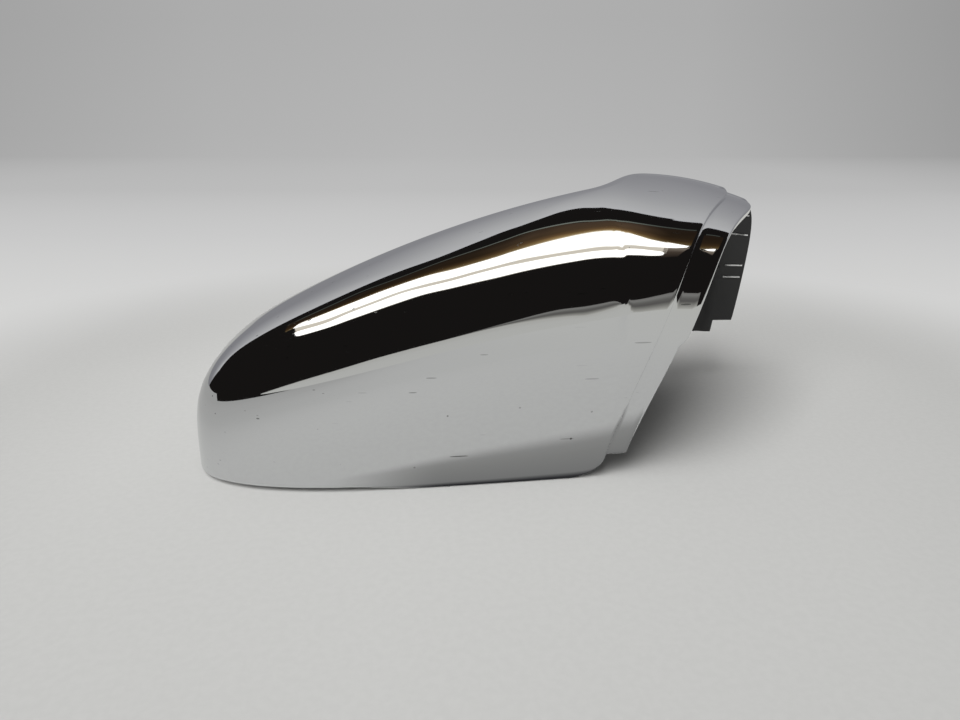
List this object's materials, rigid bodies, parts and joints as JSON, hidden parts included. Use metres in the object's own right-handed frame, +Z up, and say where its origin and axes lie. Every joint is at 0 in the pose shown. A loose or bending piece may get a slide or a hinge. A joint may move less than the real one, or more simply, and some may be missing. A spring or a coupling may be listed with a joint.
{
  "type": "wing mirror cover",
  "caption": "Chrome-plated moulded back cover for a car's wing mirror: rounded tip, raised shoulder, oblique mouth with a stepped locating flange, open on the glass side.",
  "frame": {"origin": "under the middle of the cover's box, in the plane that its open side rests on", "axes": "+X along the length from the rounded tip to the mouth, +Y across the open side from the front rim to the rear rim, +Z up to the crown"},
  "size_m": [0.2396, 0.1156, 0.1024],
  "materials": {
    "chrome_plate": "bright chrome plating on moulded ABS",
    "bare_inside": "unplated black ABS on the inner side"
  },
  "bodies": {
    "root": {"mirror_cover": "chrome_plate"}
  },
  "joints": []
}
